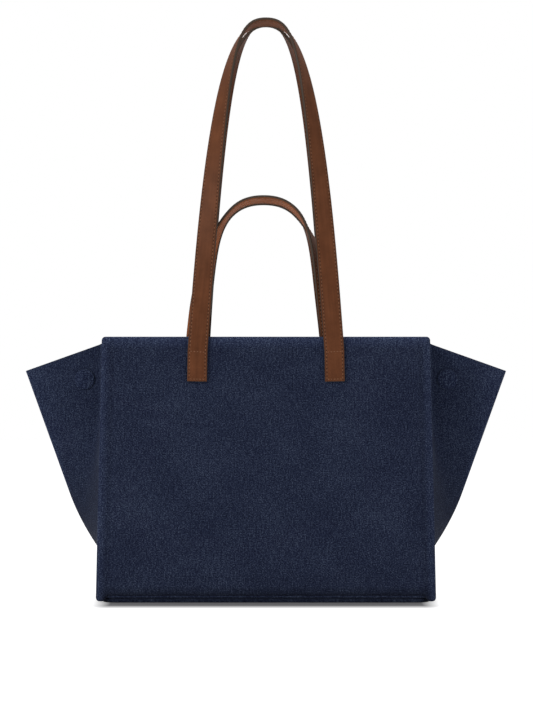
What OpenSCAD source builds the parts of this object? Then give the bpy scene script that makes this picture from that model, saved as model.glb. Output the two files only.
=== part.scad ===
// Trapeze tote bag: two stiffened denim panels on a padded base, wide denim gussets whose
// upper halves are pinched into flat side wings by magnetic snaps, two long leather straps
// sewn outside and two short leather handles sewn inside the mouth.
// The bag stands on z = 0, its front faces -Y, and its centre is at x = 0, y = 0.

/* [Body] */
// Width of the front and back panels at the top edge
panel_w_top = 300; // [280:1:320]
// Width of the front and back panels at the bottom edge
panel_w_bottom = 310; // [296:1:330]
// Height of the panel along its own face
panel_h = 235.4; // [225:0.2:260]
// Depth of the bag at the base, over both panels
base_d = 130; // [112:1:160]
// Lean of each panel towards the middle of the bag, in degrees
panel_lean = 2.5; // [0:0.5:4]
// Thickness of a finished panel, edge to edge
panel_t = 5; // [4.6:0.1:7]
// Corner radius of a panel
panel_corner_r = 4; // [2:0.5:10]
// Width of the denim turned round a panel's edge
turned_edge_w = 14; // [10:0.5:16]

/* [Cloth and board] */
// Thickness of the denim with its backing
denim_t = 1.5; // [1:0.1:1.9]
// Thickness of the lining cloth
lining_t = 0.8; // [0.5:0.1:1]
// Thickness of the facing round the mouth
facing_t = 1.2; // [0.8:0.1:1.6]
// Height of the facing below the mouth
facing_h = 42; // [30:1:60]
// Thickness of the stiffening board in a panel
stiffener_t = 2.6; // [1:0.1:2.8]
// Gap that a seam or a glue line leaves between two layers
seam_gap = 0.3; // [0.2:0.05:0.4]

/* [Base] */
// Thickness of the padded base panel
base_t = 3.9; // [3.6:0.1:6]
// Thickness of the board inside the base
base_board_t = 1.8; // [1:0.1:2]
// Corner radius of the base, seen from above
base_corner_r = 14; // [8:1:24]
// Distance from a panel's face to the edge of the base below it
base_inset = 2; // [1:0.5:3]
// Radius of the piping round the base
piping_r = 1.3; // [1:0.1:2]

/* [Wings] */
// Distance of the gusset seam from a panel's side edge, at the top
gusset_inset = 4; // [3:0.5:7]
// Distance of a wing's tip outside the top corner of a panel
wing_out = 72.6; // [55:0.2:90]
// Height of a wing's tip above the ground
wing_tip_z = 209.7; // [190:1:225]
// Height of the gusset's top edge where it meets a panel
gusset_top_z = 236; // [228:1:240]
// Slope of the wing's folded outer edge, from upright, in degrees
wing_slope = 19.8; // [15:0.2:22]
// Height at which the folded edge starts to curve in towards the body
wing_toe_z = 98; // [80:1:110]
// How strongly the folded edge curves in below that height
wing_toe_curve = 0.0032; // [0.002:0.0002:0.005]
// Half the thickness of a wing at the snap
wing_pinch = 4.8; // [4.6:0.1:6]
// Half the thickness of a wing at its folded outer edge
wing_fold = 3.2; // [3.1:0.1:4.4]
// Distance from the seam to the crease where a wing starts
crease_out = 5; // [3:0.5:7]

/* [Snaps] */
// Distance of a snap's middle from the side edge of a panel
snap_out = 17.2; // [15:0.2:29]
// Height of a snap above the ground
snap_z = 203; // [185:1:206]
// Radius of a denim-covered snap cover
snap_cover_r = 9.6; // [7:0.2:10]
// Height of a snap cover's dome
snap_cover_h = 2.2; // [1.4:0.1:3]
// Radius of a snap magnet
magnet_r = 8; // [5:0.5:9]

/* [Straps] */
// Width of the straps and handles
strap_w = 18.5; // [16:0.5:21]
// Thickness of the straps and handles
strap_t = 3.2; // [2.4:0.1:4]
// Distance between the middles of the two ends of a strap
strap_spacing = 124.8; // [112:0.2:136]
// Inward tilt of a sewn strap end, in degrees
strap_splay = 1; // [0:0.2:3]
// Inward tilt of a strap where it leaves its sewn end, in degrees
strap_rise_angle = 4; // [2.4:0.2:4]
// Distance between the middles of the two ends of a handle
handle_spacing = 123.4; // [112:0.2:130]
// Inward tilt of a handle and of its sewn end, in degrees
handle_splay = 5.6; // [4:0.2:8]
// Distance from a panel's top edge down to the end of the strap
tab_drop = 41; // [36:1:48]
// Distance from a panel's top edge down to the strap's upper stitch row
strap_hinge_drop = 14; // [8:1:20]
// Height of the top of the front strap above the ground
strap_top_z = 533.6; // [450:0.2:560]
// Height of the top of the back strap above the ground
back_strap_top_z = 531.6; // [450:0.2:560]
// Half the width of the front strap's crown
strap_crown = 29; // [24:1:40]
// Half the width of the back strap's crown
back_strap_crown = 20; // [16:1:40]
// Distance of the middle of a strap's top from the bag's middle plane
strap_top_y = 12; // [11.5:0.5:16]
// Height of the top of the short handles above the ground
handle_top_z = 368.5; // [345:0.5:380]
// Half the width of a short handle's crown
handle_crown = 26; // [22:1:40]
// Distance of the middle of a handle's top from the bag's middle plane
handle_top_y = 24; // [22:0.5:28]
// Distance that the handles are sewn to the left of the middle
handle_shift = 2.2; // [0:0.2:4]

/* [Pocket] */
// Width of the slip pocket on the back lining
pocket_w = 170; // [120:1:220]
// Depth of the slip pocket
pocket_h = 125; // [90:1:140]
// Height of the pocket's mouth above the ground
pocket_top_z = 185; // [160:1:190]
// Room between the pocket cloth and the lining
pocket_room = 0.8; // [0.5:0.1:1.5]

/* [Hidden] */

denim = "#24324f";
denim_dark = "#1c2740";
lining_tan = "#8f7b63";
leather = "#7a4a31";
board = "#c9c2b2";
steel = "#b9bcc0";

// Heights that the base fixes, from the ground up
board_floor = (base_t - base_board_t) / 2;
base_lining_z = base_t + seam_gap;
piping_z = base_t + seam_gap + piping_r;
panel_z = piping_z + piping_r + seam_gap;
panel_top_z = panel_z + panel_h * cos(panel_lean);

// Where the layers inside a panel lie, measured from its outer face
stiffener_y = denim_t + seam_gap;
panel_back_y = panel_t;
layer_y = panel_back_y + seam_gap;

// Sizes of the gusset and of its layers
gusset_lining_in = denim_t + seam_gap;
gusset_wall = gusset_lining_in + lining_t;
wing_reach = panel_w_top / 2 + wing_out;
toe_lift = 1.5;
wing_start_z = 50;
wing_open_z = 60;
wing_shut_z = 178;
row_count = 15;

function mix(a, b, u) = a + (b - a) * u;
function clamp01(u) = min(1, max(0, u));
function smooth(u) = let (c = clamp01(u)) c * c * (3 - 2 * c);
function unit(v) = v / norm(v);
function bend(a, k, b, u) = (1 - u) * (1 - u) * a + 2 * u * (1 - u) * k + u * u * b;

// Panels: half width, and the outer face's distance from the middle plane, at a height
function panel_half_w(z) =
  mix(panel_w_bottom, panel_w_top, clamp01((z - panel_z) / (panel_top_z - panel_z))) / 2;
function panel_face_y(z) = base_d / 2 - (z - piping_z) * tan(panel_lean);

// Outline of a flat piece that tapers from w0 at z0 to w1 at z1, with round corners
function taper_outline(w0, w1, z0, z1, r, steps = 5) = [
  for (c = [
      [w1 / 2 - r, z1 - r, 0], [-w1 / 2 + r, z1 - r, 90],
      [-w0 / 2 + r, z0 + r, 180], [w0 / 2 - r, z0 + r, 270]
    ], i = [0:steps])
    let (a = c[2] + 90 * i / steps)
      [c[0] + r * cos(a), c[1] + r * sin(a)]
];

// A solid lofted through outlines that all have the same number of points
module loft(rings) {
  n = len(rings[0]);
  last = len(rings) - 1;
  points = [for (ring = rings, p = ring) p];
  sides = [
    for (j = [0:last - 1], i = [0:n - 1])
      let (k = (i + 1) % n)
        each [
          [j * n + i, (j + 1) * n + i, j * n + k],
          [j * n + k, (j + 1) * n + i, (j + 1) * n + k]
        ]
  ];
  caps = [[for (i = [0:n - 1]) i], [for (i = [n - 1:-1:0]) last * n + i]];
  polyhedron(points, concat(sides, caps), convexity = 6);
}

// Places a flat piece, drawn upright with its outer face on y = 0, against the front
module on_front() {
  translate([0, -base_d / 2, piping_z])
    rotate([-panel_lean, 0, 0])
      translate([0, 0, -piping_z])
        children();
}

module on_back() {
  mirror([0, 1, 0])
    on_front()
      children();
}

// Height on the leaning panel, measured along its face, of a height above the ground
function on_face(z) = piping_z + (z - piping_z) / cos(panel_lean);
face_top = on_face(panel_top_z);

// A flat layer between two depths behind the panel's outer face
module layer(w0, w1, z0, z1, r, y0, y1) {
  translate([0, y1, 0])
    rotate([90, 0, 0])
      linear_extrude(y1 - y0)
        polygon(taper_outline(w0, w1, z0, z1, r));
}

// The padded denim shell of a panel: round outer edges, turned in round its board
module panel() {
  // Depth behind the face and inset of the outline, from the back to the face
  profile = [
    [panel_t, 0.5], [panel_t - 0.6, 0], [1.9, 0], [0.9, 0.35], [0.25, 1.2], [0, 2.6]
  ];
  difference() {
    loft([
      for (p = profile) [
        for (q = taper_outline(
            panel_w_bottom - 2 * p[1], panel_w_top - 2 * p[1],
            on_face(panel_z) + p[1], face_top - p[1], panel_corner_r))
          [q[0], p[0], q[1]]
      ]
    ]);
    layer(
      panel_w_bottom - 2 * turned_edge_w, panel_w_top - 2 * turned_edge_w,
      on_face(panel_z) + turned_edge_w, face_top - turned_edge_w,
      panel_corner_r, denim_t, panel_t + 1);
  }
}

// The board that keeps a panel flat, inside the turned edges
module stiffener() {
  side = turned_edge_w + seam_gap;
  layer(
    panel_w_bottom - 2 * side, panel_w_top - 2 * side,
    on_face(panel_z) + side, face_top - side,
    panel_corner_r - seam_gap, stiffener_y, stiffener_y + stiffener_t);
}

// Width of what lies between the gusset linings, at a height above the ground
function inner_w(z) = 2 * (gusset_x(z) - gusset_wall - seam_gap);

facing_z = panel_top_z - facing_h;
module facing() {
  layer(
    inner_w(facing_z), inner_w(panel_top_z), on_face(facing_z), face_top - 1,
    1, layer_y, layer_y + facing_t);
}

module panel_lining() {
  top = facing_z - seam_gap;
  layer(
    inner_w(panel_z), inner_w(top), on_face(panel_z), on_face(top),
    1, layer_y, layer_y + lining_t);
}

// The slip pocket: a cloth patch with folded edges, open at its mouth
module pocket() {
  seam_w = 5;
  bottom = on_face(pocket_top_z - pocket_h);
  top = on_face(pocket_top_z);
  y0 = layer_y + lining_t + seam_gap;
  difference() {
    layer(pocket_w, pocket_w, bottom, top, 3, y0, y0 + pocket_room + lining_t);
    layer(
      pocket_w - 2 * seam_w, pocket_w - 2 * seam_w,
      bottom + seam_w, top + 10, 1, y0 - 1, y0 + pocket_room);
  }
}

// Base: padded shell, board, lining and piping
function base_outline(inset, steps = 6) = taper_outline(
  panel_w_bottom - 2 * (base_inset + inset), panel_w_bottom - 2 * (base_inset + inset),
  -base_d / 2 + base_inset + inset, base_d / 2 - base_inset - inset,
  base_corner_r - inset, steps);

module base_panel() {
  profile = [[0, 3.2], [0.35, 1.5], [1.1, 0.45], [2.1, 0], [base_t - 0.4, 0], [base_t, 0.6]];
  color(denim_dark)
    difference() {
      loft([for (p = profile) [for (q = base_outline(p[1])) [q[0], q[1], p[0]]]]);
      translate([0, 0, board_floor - seam_gap])
        linear_extrude(base_board_t + 2 * seam_gap)
          polygon(base_outline(turned_edge_w / 2));
    }
}

module base_board() {
  color(board)
    translate([0, 0, board_floor])
      linear_extrude(base_board_t)
        polygon(base_outline(turned_edge_w / 2 + seam_gap));
}

module base_lining() {
  color(lining_tan)
    translate([0, 0, base_lining_z])
      linear_extrude(lining_t)
        polygon(base_outline(2 * piping_r + seam_gap));
}

module base_piping() {
  half_x = panel_w_bottom / 2 - base_inset - base_corner_r;
  half_y = base_d / 2 - base_inset - base_corner_r;
  bend_r = base_corner_r - piping_r;
  color(denim_dark)
    translate([0, 0, piping_z]) {
      for (sx = [-1, 1], sy = [-1, 1])
        translate([sx * half_x, sy * half_y, 0])
          rotate([0, 0, sx > 0 ? (sy > 0 ? 0 : 270) : (sy > 0 ? 90 : 180)])
            rotate_extrude(angle = 90, $fn = 64)
              translate([bend_r, 0])
                circle(piping_r, $fn = 24);
      for (s = [-1, 1]) {
        translate([-half_x, s * (half_y + bend_r), 0])
          rotate([0, 90, 0])
            cylinder(2 * half_x, r = piping_r, $fn = 24);
        translate([s * (half_x + bend_r), -half_y, 0])
          rotate([-90, 0, 0])
            cylinder(2 * half_y, r = piping_r, $fn = 24);
      }
    }
}

// Gusset: where the seam and the folded ridge run, for the right side of the front half
function gusset_x(z) = panel_half_w(z) - gusset_inset;
function seam_y(z) = -panel_face_y(z) + (panel_t + seam_gap) / cos(panel_lean);
function ridge_x(z) = max(
  gusset_x(z) + toe_lift,
  wing_reach - (wing_tip_z - z) * tan(wing_slope)
    - wing_toe_curve * pow(max(0, wing_toe_z - z), 2));
function ridge_z(z) = z < wing_start_z ? z
  : mix(wing_start_z, wing_tip_z, (z - wing_start_z) / (gusset_top_z - wing_start_z));

// One level course of the gusset's outer face, from the seam to the middle plane:
// straight back from the seam, round the crease, along the wing and round the fold
function course(z) =
  let (
    zr = ridge_z(z),
    shut = smooth((z - wing_open_z) / (wing_shut_z - wing_open_z)),
    seam = [gusset_x(z), seam_y(z)],
    end = [ridge_x(zr), -seam_gap / 2],
    crease = mix(mix(seam, end, 0.5), [gusset_x(z) + crease_out, -wing_pinch], shut),
    nose = [ridge_x(zr), -mix(2 * seam_gap, wing_fold, shut)],
    back = unit(crease - seam),
    out = unit(nose - crease),
    turn = unit(end - nose),
    soft = mix(18, 5, shut),
    a = crease - back * min(soft * 1.4, 0.7 * norm(crease - seam)),
    b = crease + out * min(soft, 0.4 * norm(nose - crease)),
    reach = 0.9 * norm(end - nose),
    c = nose - out * reach,
    d = nose + turn * reach
  )
    [
      each [for (u = [0:1 / 3:0.9]) mix(seam, a, u)],
      each [for (u = [0:0.25:1]) bend(a, crease, b, u)],
      each [for (u = [0.2:0.2:0.9]) mix(b, c, u)],
      each [for (u = [0:0.25:1]) bend(c, nose, d, u)],
      end
    ];
nose_points = 5;

// The same course moved in by a depth, towards the inside of the bag
function moved_in(line, depth) =
  let (last = len(line) - 1)
    [
      for (i = [0:last])
        let (t = unit(line[min(last, i + 1)] - line[max(0, i - 1)]))
          line[i] + depth * (i == 0 ? [-1, 0] : [-t[1], t[0]])
    ];

// Heights of the courses, closer together where the wing starts
function course_z(j) = mix(panel_z, gusset_top_z, pow(j / row_count, 0.9));

// Sheet of the gusset between two depths; "skip" leaves off points round the fold
module gusset_sheet(depth0, depth1, skip, drop) {
  rows = [
    for (j = [0:row_count])
      let (
        z = mix(course_z(j), course_z(j) - drop, j / row_count),
        line = course(z),
        keep = len(line) - 1 - skip,
        x0 = line[0][0],
        x1 = line[len(line) - 1][0],
        outer = moved_in(line, depth0),
        inner = moved_in(line, depth1)
      )
        [
          each [
            for (i = [0:keep])
              let (f = clamp01((line[i][0] - x0) / (x1 - x0)))
                [outer[i][0], outer[i][1], mix(z, ridge_z(z), f)]
          ],
          each [
            for (i = [keep:-1:0])
              let (f = clamp01((line[i][0] - x0) / (x1 - x0)))
                [inner[i][0], inner[i][1], mix(z, ridge_z(z), f)]
          ]
        ]
  ];
  strip(rows);
}

// A sheet from rows of points; each row runs out along one face and back along the other
module strip(rows) {
  n = len(rows[0]);
  half = n / 2;
  last = len(rows) - 1;
  points = [for (row = rows, p = row) p];
  sides = [
    for (j = [0:last - 1], i = [0:n - 1])
      let (k = (i + 1) % n)
        each [
          [j * n + i, (j + 1) * n + i, j * n + k],
          [j * n + k, (j + 1) * n + i, (j + 1) * n + k]
        ]
  ];
  ends = [
    for (i = [0:half - 2])
      let (m = n - 1 - i, top = last * n)
        each [
          [i, i + 1, m], [i + 1, m - 1, m],
          [top + i, top + m, top + i + 1], [top + i + 1, top + m, top + m - 1]
        ]
  ];
  polyhedron(points, concat(sides, ends), convexity = 8);
}

module gusset_half(sx, sy) {
  color(denim_dark)
    scale([sx, sy, 1])
      gusset_sheet(0, denim_t, 0, 0);
}

module gusset_lining_half(sx, sy) {
  color(lining_tan)
    scale([sx, sy, 1])
      gusset_sheet(gusset_lining_in, gusset_wall, nose_points, 1.5);
}

// Snaps: the wing's outer face at the snap, from the crease to the fold
snap_x = panel_half_w(snap_z) + snap_out;
snap_wing_x0 = gusset_x(snap_z) + crease_out;
snap_wing_x1 = wing_reach - (wing_tip_z - snap_z) * tan(wing_slope);
wing_taper = atan((wing_pinch - wing_fold) / (snap_wing_x1 - snap_wing_x0));
snap_face_y = wing_pinch - (snap_x - snap_wing_x0) * tan(wing_taper);

module at_snaps(y) {
  for (s = [-1, 1])
    scale([s, 1, 1])
      translate([snap_x, y, snap_z])
        rotate([0, 0, wing_taper])
          rotate([90, 0, 0])
            children();
}

module snap_covers() {
  rim = 0.6;
  color(denim)
    at_snaps(-snap_face_y - seam_gap)
      rotate_extrude($fn = 48)
        polygon([
          [0, 0], [snap_cover_r, 0], [snap_cover_r, rim],
          for (a = [15:15:90])
            [snap_cover_r * cos(a), rim + (snap_cover_h - rim) * sin(a)]
        ]);
}

module snap_magnets() {
  face = snap_face_y - gusset_wall / cos(wing_taper) - seam_gap;
  magnet_t = face - seam_gap / 2 - magnet_r * sin(wing_taper);
  color(steel)
    at_snaps(-seam_gap / 2 - magnet_r * sin(wing_taper))
      rotate_extrude($fn = 48)
        polygon([
          [0, 0], [magnet_r - 0.2, 0], [magnet_r, 0.2],
          [magnet_r, magnet_t], [0, magnet_t]
        ]);
}

// Sewn ends: a short flat length of the band with a square end
strap_hinge_z = panel_top_z - strap_hinge_drop;
tab_z = panel_top_z - tab_drop;
module sewn_ends(spacing, y0, z0, z1, tilt) {
  color(leather)
    on_front()
      for (s = [-1, 1])
        scale([s, 1, 1])
          translate([spacing / 2, y0 + strap_t, on_face(z1) + y0 * tan(panel_lean)])
            rotate([90, -tilt, 0])
              linear_extrude(strap_t)
                polygon(taper_outline(strap_w, strap_w, on_face(z0) - on_face(z1), 0, 0.8, 3));
}

strap_y = -seam_gap - strap_t;
handle_y = layer_y + facing_t + seam_gap;
handle_hinge_z = panel_top_z;

module strap_ends() {
  sewn_ends(strap_spacing, strap_y, tab_z, strap_hinge_z - seam_gap, strap_splay);
}

module handle_ends() {
  translate([-handle_shift, 0, 0])
    sewn_ends(handle_spacing, handle_y, tab_z, handle_hinge_z - seam_gap, handle_splay);
}

// Bands: one half of the arch climbs from the hinge to the crown. At the foot the band
// lies flat against the panel, at the crown its flat side faces up
ring_count = 22;
flat_share = 0.04;
function arch(foot, lead, crown_x, top, u) =
  pow(1 - u, 3) * foot + 3 * pow(1 - u, 2) * u * lead
    + 3 * (1 - u) * u * u * [crown_x, top] + pow(u, 3) * [0, top];
function arch_slope(foot, lead, crown_x, top, u) =
  3 * pow(1 - u, 2) * (lead - foot) + 6 * (1 - u) * u * ([crown_x, top] - lead)
    + 3 * u * u * ([0, top] - [crown_x, top]);

// Corners of the band at one place; side is 1 on the right and -1 on the left, "held" is
// how far above its foot the band still lies against the panel, and "turn_end" is the
// share of its half length over which it turns
function band_ring(foot, lead, crown_x, top, y0, y1, held, turn_end, u, side, turned) =
  let (
    p = arch(foot, lead, crown_x, top, u),
    d = arch_slope(foot, lead, crown_x, top, u),
    rise = top - foot[1],
    free = rise - held,
    h = max(0, p[1] - foot[1] - held) / free,
    sag = y1 - y0 - rise * tan(panel_lean),
    y = y0 + (p[1] - foot[1]) * tan(panel_lean) + sag * h * h,
    lean = tan(panel_lean) + 2 * sag * h / free,
    along = unit([d[0], lean * d[1], d[1]]),
    front0 = unit([0, -1, lean]),
    out = unit(cross(along, front0)),
    front = cross(out, along),
    twist = 90 * sin(90 * clamp01((u - flat_share) / (turn_end - flat_share))),
    a = turned ? 180 - twist : twist,
    across = cos(a) * out - sin(a) * front,
    face = cos(a) * front + sin(a) * out,
    c = [p[0], y, p[1]],
    w = across * strap_w / 2,
    t = face * strap_t / 2
  )
    [for (q = [c + w + t, c + w - t, c - w - t, c - w + t]) [side * q[0], q[1], q[2]]];

// The whole band from the right foot over the crown to the left foot
module band(
    foot_x, foot_z, lead_len, lead_angle, crown_x, top, y0, y1, held, turn_end, turned) {
  foot = [foot_x, foot_z];
  lead = foot + lead_len * [-sin(lead_angle), cos(lead_angle)];
  rings = [
    for (i = [0:ring_count])
      band_ring(
        foot, lead, crown_x, top, y0, y1, held, turn_end, i / ring_count, 1, false),
    for (i = [ring_count - 1:-1:0])
      band_ring(
        foot, lead, crown_x, top, y0, y1, held, turn_end, i / ring_count, -1, turned)
  ];
  color(leather)
    loft(rings);
}

// Middle of the band at the foot: across the bag, and from the middle plane
strap_foot_x = strap_spacing / 2;
strap_foot_y = -panel_face_y(strap_hinge_z) - (seam_gap + strap_t / 2) / cos(panel_lean);
handle_foot_x = handle_spacing / 2;
handle_foot_y = -panel_face_y(handle_hinge_z) + (handle_y + strap_t / 2) / cos(panel_lean);
// How long a band keeps to its first direction, as a share of its rise
strap_lead = 0.94;
handle_lead = 0.98;
strap_turn_end = 1;
handle_turn_end = 0.7;

module long_strap(top, crown_x) {
  foot_z = strap_hinge_z + seam_gap;
  band(
    strap_foot_x, foot_z, strap_lead * (top - foot_z), strap_rise_angle,
    crown_x, top, strap_foot_y, -strap_top_y, panel_top_z - foot_z,
    strap_turn_end, false);
}

module short_handle() {
  foot_z = handle_hinge_z + seam_gap;
  translate([-handle_shift, 0, 0])
    band(
      handle_foot_x, foot_z, handle_lead * (handle_top_z - foot_z), handle_splay,
      handle_crown, handle_top_z, handle_foot_y, -handle_top_y, 0,
      handle_turn_end, true);
}

base_panel();
base_board();
base_lining();
base_piping();

color(denim) on_front() panel();  // front_panel
color(board) on_front() stiffener();  // front_stiffener
color(denim) on_front() facing();  // front_facing
color(lining_tan) on_front() panel_lining();  // front_lining
gusset_half(-1, 1);  // front_left_gusset
gusset_half(1, 1);  // front_right_gusset
gusset_lining_half(-1, 1);  // front_left_gusset_lining
gusset_lining_half(1, 1);  // front_right_gusset_lining
snap_covers();  // front_snap_covers
snap_magnets();  // front_snap_magnets
strap_ends();  // front_strap_ends
handle_ends();  // front_handle_ends

color(denim) on_back() panel();  // back_panel
color(board) on_back() stiffener();  // back_stiffener
color(denim) on_back() facing();  // back_facing
color(lining_tan) on_back() panel_lining();  // back_lining
color(lining_tan) on_back() pocket();  // back_pocket
gusset_half(-1, -1);  // back_left_gusset
gusset_half(1, -1);  // back_right_gusset
gusset_lining_half(-1, -1);  // back_left_gusset_lining
gusset_lining_half(1, -1);  // back_right_gusset_lining
mirror([0, 1, 0]) snap_covers();  // back_snap_covers
mirror([0, 1, 0]) snap_magnets();  // back_snap_magnets
mirror([0, 1, 0]) strap_ends();  // back_strap_ends
mirror([0, 1, 0]) handle_ends();  // back_handle_ends

long_strap(strap_top_z, strap_crown);  // front_strap
mirror([0, 1, 0]) long_strap(back_strap_top_z, back_strap_crown);  // back_strap
short_handle();  // front_handle
mirror([0, 1, 0]) short_handle();  // back_handle
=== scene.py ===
import math
import bpy
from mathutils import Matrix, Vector, noise


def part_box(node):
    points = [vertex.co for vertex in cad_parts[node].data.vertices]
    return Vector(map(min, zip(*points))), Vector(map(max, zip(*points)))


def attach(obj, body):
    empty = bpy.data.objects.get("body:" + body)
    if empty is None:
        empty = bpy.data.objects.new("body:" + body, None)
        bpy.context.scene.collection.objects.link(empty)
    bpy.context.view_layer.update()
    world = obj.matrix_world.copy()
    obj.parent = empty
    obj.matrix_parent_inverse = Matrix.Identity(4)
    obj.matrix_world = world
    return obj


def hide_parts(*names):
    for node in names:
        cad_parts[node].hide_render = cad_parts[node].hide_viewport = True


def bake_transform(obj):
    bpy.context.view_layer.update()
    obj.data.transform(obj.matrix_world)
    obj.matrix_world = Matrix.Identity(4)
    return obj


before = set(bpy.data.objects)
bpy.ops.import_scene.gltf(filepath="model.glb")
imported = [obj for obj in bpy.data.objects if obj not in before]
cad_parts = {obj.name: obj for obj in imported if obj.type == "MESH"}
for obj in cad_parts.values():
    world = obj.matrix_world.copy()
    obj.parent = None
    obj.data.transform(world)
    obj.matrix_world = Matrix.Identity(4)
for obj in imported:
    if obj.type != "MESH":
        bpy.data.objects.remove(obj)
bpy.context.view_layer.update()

# The base is a board wrapped in padded denim, with a round-cornered outline a little
# inside the panels. The bag stands on it. The denim of the whole bag is one raw
# indigo twill, woven with a pale weft that shows as fine specks.
BASE_LOW, BASE_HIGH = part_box("base_panel")
BASE_CORNER = 0.014
INDIGO_DEEP = (0.0035, 0.0050, 0.0150)
INDIGO = (0.0125, 0.0175, 0.0400)
INDIGO_PALE = (0.060, 0.078, 0.120)
WEFT_SHARE, RIB_SHARE, SLUB_SHARE = 0.66, 0.18, 0.16
WEAVE_DEPTH = 0.00022


def link(tree, source, target):
    tree.links.new(source, target)
    return target.node


def add_node(tree, kind, **settings):
    made = tree.nodes.new(kind)
    for name, value in settings.items():
        setattr(made, name, value)
    return made


def millimetres(tree, coordinates, stretch=(1, 1, 1)):
    """Texture space in millimetres, from the piece's own cloth layout or from its place."""
    place = add_node(tree, "ShaderNodeTexCoord")
    mapping = add_node(tree, "ShaderNodeMapping")
    mapping.inputs["Scale"].default_value = [1000 * s for s in stretch]
    link(tree, place.outputs[coordinates], mapping.inputs["Vector"])
    return mapping.outputs["Vector"]


def grain(tree, space, scale, detail=2.0, roughness=0.6):
    texture = add_node(tree, "ShaderNodeTexNoise")
    texture.inputs["Scale"].default_value = scale
    texture.inputs["Detail"].default_value = detail
    texture.inputs["Roughness"].default_value = roughness
    link(tree, space, texture.inputs["Vector"])
    return texture.outputs["Fac"]


def spread(tree, value, low, high, to_low=0.0, to_high=1.0):
    """Stretches a value from one range to another."""
    stretch = add_node(tree, "ShaderNodeMapRange")
    for name, number in (
        ("From Min", low), ("From Max", high), ("To Min", to_low), ("To Max", to_high)
    ):
        stretch.inputs[name].default_value = number
    link(tree, value, stretch.inputs["Value"])
    return stretch.outputs["Result"]


def combine(tree, operation, *values):
    sum_node = add_node(tree, "ShaderNodeMath", operation=operation)
    for socket, value in zip(sum_node.inputs, values):
        if isinstance(value, (int, float)):
            socket.default_value = value
        else:
            link(tree, value, socket)
    return sum_node.outputs["Value"]


def weighted(tree, *shares):
    """The sum of several values, each times its weight."""
    total = None
    for value, weight in shares:
        part = combine(tree, "MULTIPLY", value, weight)
        total = part if total is None else combine(tree, "ADD", total, part)
    return total


def blend_colour(tree, share, a, b):
    mixer = add_node(tree, "ShaderNodeMix", data_type="RGBA")
    link(tree, share, mixer.inputs["Factor"])
    for socket, value in ((mixer.inputs[6], a), (mixer.inputs[7], b)):
        if isinstance(value, tuple):
            socket.default_value = (*value, 1)
        else:
            link(tree, value, socket)
    return mixer.outputs[2]


def shaded(colour, shade):
    return tuple(channel * shade for channel in colour)


def new_finish(name, roughness, specular):
    finish = bpy.data.materials.new(name)
    finish.use_nodes = True
    shader = finish.node_tree.nodes["Principled BSDF"]
    shader.inputs["Roughness"].default_value = roughness
    shader.inputs["Specular IOR Level"].default_value = specular
    return finish, finish.node_tree, shader


def relief(tree, shader, height, depth, strength=1.0):
    bump = add_node(tree, "ShaderNodeBump")
    bump.inputs["Distance"].default_value = depth
    bump.inputs["Strength"].default_value = strength
    link(tree, height, bump.inputs["Height"])
    link(tree, bump.outputs["Normal"], shader.inputs["Normal"])


def denim_finish(name, coordinates, shade, with_painted_light=False):
    """Indigo twill: pale weft specks, diagonal ribs, slubs along the warp, broad fading.
    On some pieces a point attribute scales the colour lighter or darker: painted highlights and
    painted shade."""
    finish, tree, shader = new_finish(name, 0.85, 0.05)
    flat = millimetres(tree, coordinates)
    warp = millimetres(tree, coordinates, (1, 0.2, 1) if coordinates == "UV" else (1, 1, 0.2))
    ribs = add_node(tree, "ShaderNodeTexWave", bands_direction="DIAGONAL")
    ribs.inputs["Scale"].default_value = 0.42
    ribs.inputs["Distortion"].default_value = 2.0
    ribs.inputs["Detail"].default_value = 1.0
    link(tree, flat, ribs.inputs["Vector"])
    weft = spread(tree, grain(tree, flat, 0.85, 2.0, 0.85), 0.34, 0.66)
    slub = spread(tree, grain(tree, warp, 0.6, 2.0, 0.6), 0.34, 0.66)
    fading = spread(tree, grain(tree, flat, 0.02, 2.0, 0.5), 0.3, 0.7, -0.05, 0.05)
    weave = weighted(tree, (weft, WEFT_SHARE), (ribs.outputs["Fac"], RIB_SHARE),
                     (slub, SLUB_SHARE))
    tone = combine(tree, "ADD", weave, fading)
    deep, mid, pale = (shaded(c, shade) for c in (INDIGO_DEEP, INDIGO, INDIGO_PALE))
    body = blend_colour(tree, spread(tree, tone, 0.2, 0.55), deep, mid)
    colour = blend_colour(tree, spread(tree, tone, 0.55, 0.95), body, pale)
    # Painted light: the point attribute makes the colour lighter for painted highlights and
    # darker for painted shade.
    if with_painted_light:
        painted_light = add_node(tree, "ShaderNodeAttribute", attribute_name="painted_light")
        lit_and_shaded = add_node(tree, "ShaderNodeVectorMath", operation="SCALE")
        link(tree, colour, lit_and_shaded.inputs[0])
        link(tree, painted_light.outputs["Fac"], lit_and_shaded.inputs["Scale"])
        colour = lit_and_shaded.outputs["Vector"]
    link(tree, colour, shader.inputs["Base Color"])
    shader.inputs["Sheen Weight"].default_value = 0.02
    shader.inputs["Sheen Roughness"].default_value = 0.5
    relief(tree, shader, weave, WEAVE_DEPTH, 0.7)
    return finish


def select_only(*objects):
    bpy.ops.object.select_all(action="DESELECT")
    for each in objects:
        each.select_set(True)
    bpy.context.view_layer.objects.active = objects[0]


def new_piece(add, name, **settings):
    """Adds a primitive with its operator, and names it."""
    add(**settings)
    piece = bpy.context.object
    piece.name = name
    return piece


def in_edit_mode(piece, *steps):
    """Runs edit-mode operators on the whole of a piece."""
    select_only(piece)
    bpy.ops.object.mode_set(mode="EDIT")
    bpy.ops.mesh.select_all(action="SELECT")
    for step in steps:
        step()
    bpy.ops.object.mode_set(mode="OBJECT")


def face_outwards():
    bpy.ops.mesh.normals_make_consistent(inside=False)


def apply_modifier(piece, kind, **settings):
    select_only(piece)
    modifier = piece.modifiers.new(kind.title(), kind)
    for name, value in settings.items():
        setattr(modifier, name, value)
    bpy.ops.object.modifier_apply(modifier=modifier.name)


def smooth_faces(piece, degrees=50):
    select_only(piece)
    bpy.ops.object.shade_smooth_by_angle(angle=math.radians(degrees))


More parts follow.
